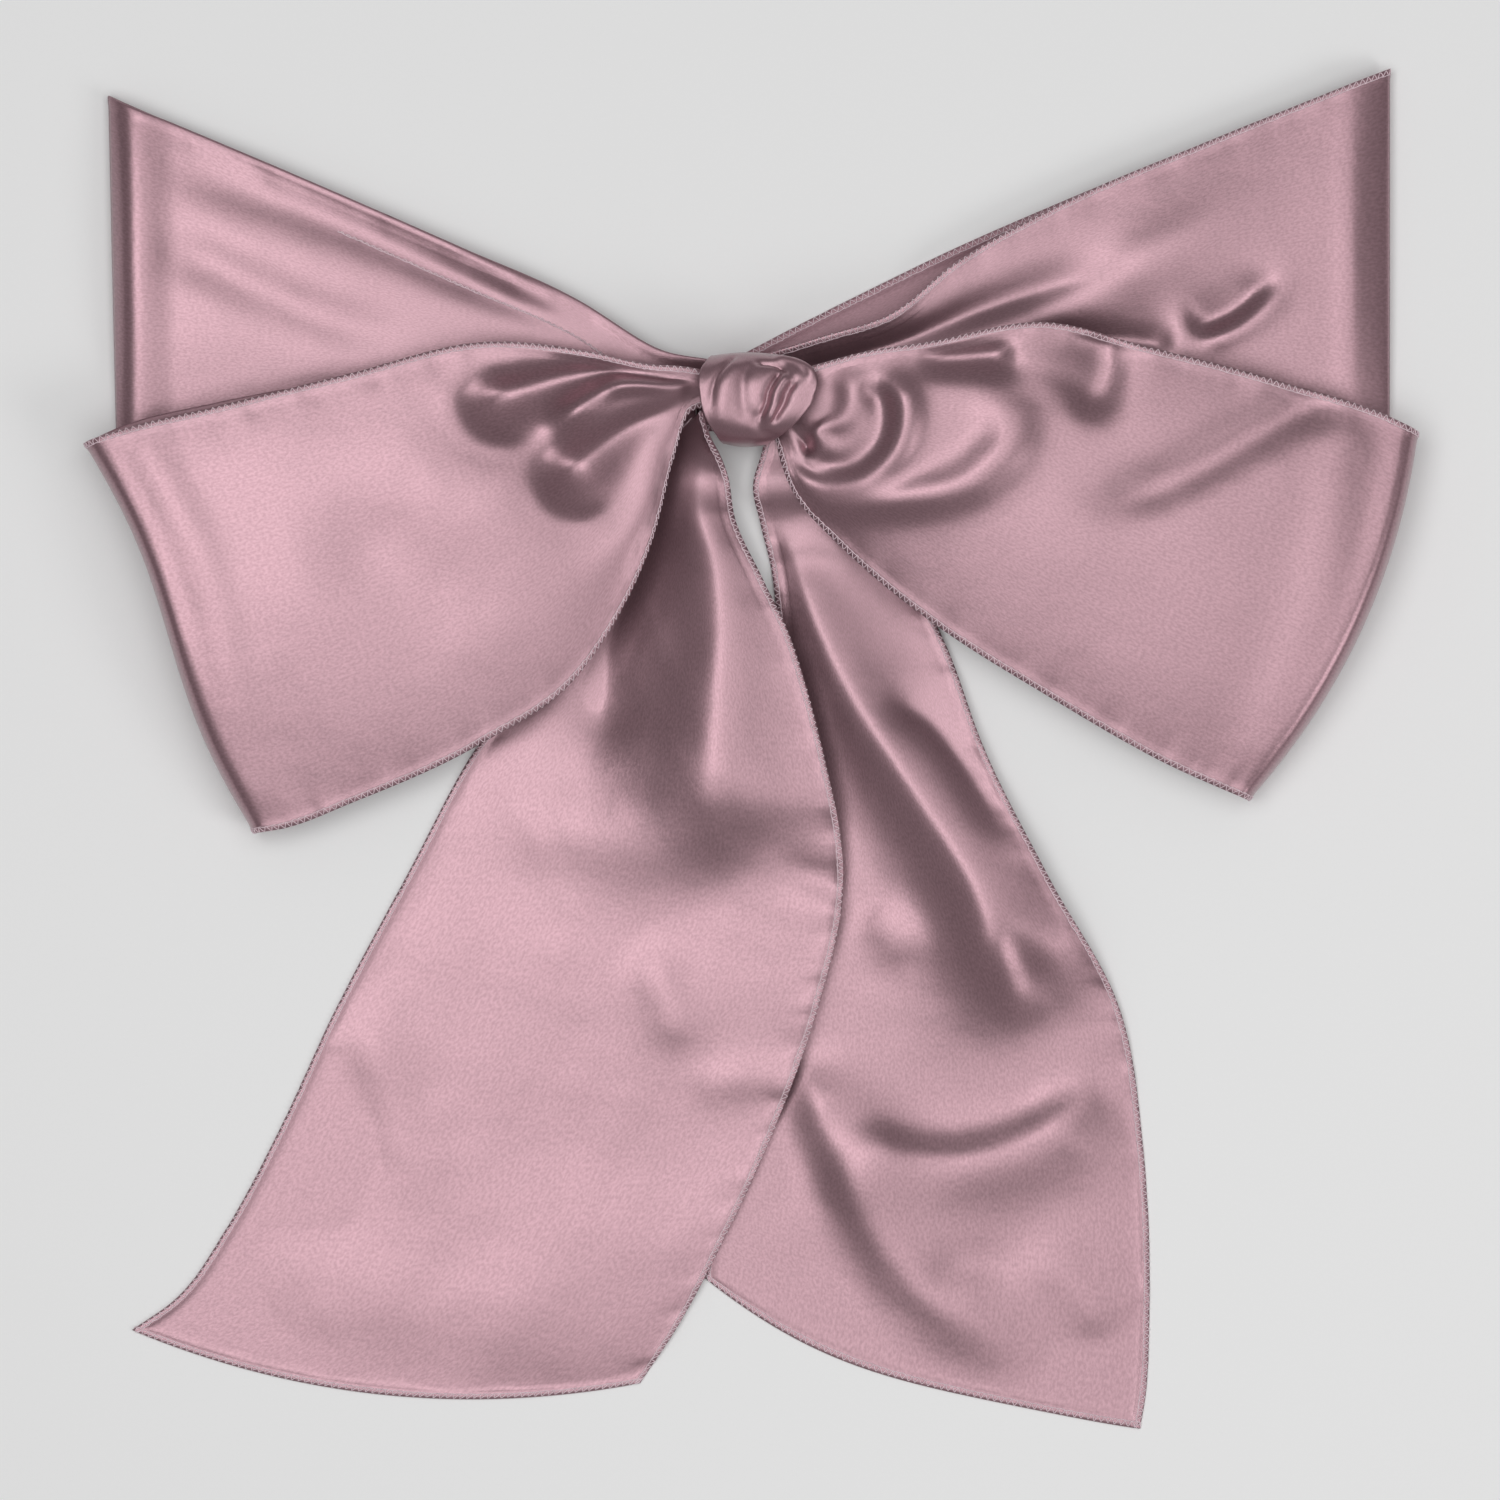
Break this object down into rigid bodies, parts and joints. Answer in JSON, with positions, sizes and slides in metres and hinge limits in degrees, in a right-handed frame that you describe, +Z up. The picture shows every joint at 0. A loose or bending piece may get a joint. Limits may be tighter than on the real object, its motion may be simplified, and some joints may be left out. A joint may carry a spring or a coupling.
{
  "type": "chair sash tied in a bow",
  "caption": "Satin chair sash tied in a large bow with wide loops, a round knot and slant-cut tails, laid flat.",
  "frame": {"origin": "middle of the bow's outline in plan, on the surface it lies on", "axes": "+Z up out of the surface, +Y from the tails towards the wings, +X to the right as seen from above"},
  "size_m": [0.4705, 0.4809, 0.0372],
  "materials": {
    "satin": "smooth dusty rose satin with a soft sheen"
  },
  "bodies": {
    "root": {"knot_wrap": "satin", "knot_core": "satin", "left_loop": "satin", "right_loop": "satin", "left_wing": "satin", "right_wing": "satin", "back_band": "satin", "left_tail": "satin", "right_tail": "satin"}
  },
  "joints": []
}
